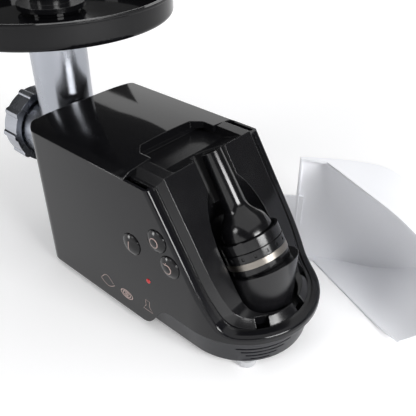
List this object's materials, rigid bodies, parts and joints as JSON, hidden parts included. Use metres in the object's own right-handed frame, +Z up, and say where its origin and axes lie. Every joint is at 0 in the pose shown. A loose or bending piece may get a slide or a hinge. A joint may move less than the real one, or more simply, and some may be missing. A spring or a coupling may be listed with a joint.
{
  "type": "electric meat grinder",
  "caption": "Table-top electric grinder with a cast head and hopper tray in front, push buttons on one side and a sloped rear bay for a sausage nozzle and plates under a frosted cover.",
  "frame": {"origin": "on the table, under the middle of the body between its front wall and its round rear", "axes": "+X from the grinding head to the storage bay, +Y away from the push buttons, +Z up"},
  "size_m": [0.5533, 0.2834, 0.3133],
  "materials": {
    "gloss_black": "polished",
    "satin_black": "satin",
    "rubber_black": "matte",
    "clear_feet": "satin",
    "cast_aluminium": "polished",
    "steel": "ground",
    "lamination": "varnished",
    "copper": "enamelled",
    "carbon": "matte",
    "white_nylon": "moulded",
    "board_green": "lacquered",
    "red_lens": "clear",
    "frosted": "frosted"
  },
  "bodies": {
    "body": {"base_pan": "satin_black", "cord_inlet": "rubber_black", "rubber_feet": "clear_feet", "base_screws": "steel", "main_housing": "gloss_black", "top_cover": "gloss_black", "storage_liner": "satin_black", "storage_nest": "satin_black", "front_collar": "satin_black", "head_casting": "cast_aluminium", "feed_tube": "cast_aluminium", "auger_bush": "white_nylon", "mincing_plate": "steel", "control_board": "board_green", "key_switches": "satin_black", "lamp_lens": "red_lens", "gearbox_case": "satin_black", "gearbox_cover": "satin_black", "gearbox_screws": "steel", "idler_shaft": "steel", "motor_stator": "lamination", "field_coils": "copper", "front_bearing": "steel", "rear_bearing": "steel", "motor_bracket": "satin_black", "carbon_brushes": "carbon", "brush_holders": "copper"},
    "start_cap": {"button_start": "gloss_black", "spring_start": "steel"},
    "stop_cap": {"button_stop": "gloss_black", "spring_stop": "steel"},
    "reverse_cap": {"button_reverse": "gloss_black", "spring_reverse": "steel"},
    "lock": {"lock_button": "satin_black", "spring_lock": "steel"},
    "drive": {"output_gear": "white_nylon", "drive_shaft": "steel", "auger": "cast_aluminium", "knife": "steel"},
    "idler": {"idler_gear": "white_nylon", "idler_pinion": "steel"},
    "rotor": {"motor_shaft": "steel", "armature_core": "lamination", "commutator": "copper", "fan": "white_nylon", "motor_pinion": "steel"},
    "nut": {"ring_nut": "cast_aluminium"},
    "tray": {"hopper_tray": "satin_black"},
    "pusher": {"pusher": "satin_black"},
    "stored_plates": {"spare_plate_coarse": "steel", "spare_plate_fine": "steel", "kebbe_disc": "satin_black"},
    "stored_nozzle": {"sausage_nozzle": "satin_black", "nozzle_ring": "satin_black", "spacer_ring": "satin_black"},
    "cover": {"storage_cover": "frosted"}
  },
  "joints": [
    {"name": "start_press", "type": "slide", "parent": "body", "child": "start_cap", "axis": [0, 1, 0], "range_m": [0, 0.0025], "stiffness_N_per_m": 500, "springref_m": -0.002, "deforming": ["spring_start"]},
    {"name": "stop_press", "type": "slide", "parent": "body", "child": "stop_cap", "axis": [0, 1, 0], "range_m": [0, 0.0025], "stiffness_N_per_m": 500, "springref_m": -0.002, "deforming": ["spring_stop"]},
    {"name": "reverse_press", "type": "slide", "parent": "body", "child": "reverse_cap", "axis": [0, 1, 0], "range_m": [0, 0.0025], "stiffness_N_per_m": 500, "springref_m": -0.002, "deforming": ["spring_reverse"]},
    {"name": "lock_press", "type": "slide", "parent": "body", "child": "lock", "axis": [1, 0, 0], "range_m": [0, 0.004], "stiffness_N_per_m": 500, "springref_m": -0.003, "deforming": ["spring_lock"]},
    {"name": "drive_turn", "type": "hinge", "parent": "body", "child": "drive", "pos_m": [-0.12, 0, 0.118], "axis": [1, 0, 0], "continuous": true},
    {"name": "idler_turn", "type": "hinge", "parent": "body", "child": "idler", "pos_m": [-0.12, 0.03269, 0.08708], "axis": [1, 0, 0], "continuous": true},
    {"name": "rotor_turn", "type": "hinge", "parent": "body", "child": "rotor", "pos_m": [-0.05, 0, 0.072], "axis": [1, 0, 0], "continuous": true},
    {"name": "nut_turn", "type": "hinge", "parent": "body", "child": "nut", "pos_m": [-0.24, 0, 0.118], "axis": [1, 0, 0], "range_deg": [0, 360]},
    {"name": "tray_lift", "type": "slide", "parent": "body", "child": "tray", "axis": [0, 0, 1], "range_m": [0, 0.06]},
    {"name": "pusher_lift", "type": "slide", "parent": "tray", "child": "pusher", "axis": [0, 0, 1], "range_m": [0, 0.13]},
    {"name": "plates_lift", "type": "slide", "parent": "body", "child": "stored_plates", "axis": [0, 0, 1], "range_m": [0, 0.2]},
    {"name": "nozzle_lift", "type": "slide", "parent": "stored_plates", "child": "stored_nozzle", "axis": [0, 0, 1], "range_m": [0, 0.1]},
    {"name": "cover_move", "type": "slide", "parent": "body", "child": "cover", "axis": [0, 1, 0], "range_m": [0, 0.15]}
  ],
  "couplings": [
    {"joint": "idler_turn", "follows": "drive_turn", "ratio": -5},
    {"joint": "rotor_turn", "follows": "drive_turn", "ratio": 35}
  ]
}
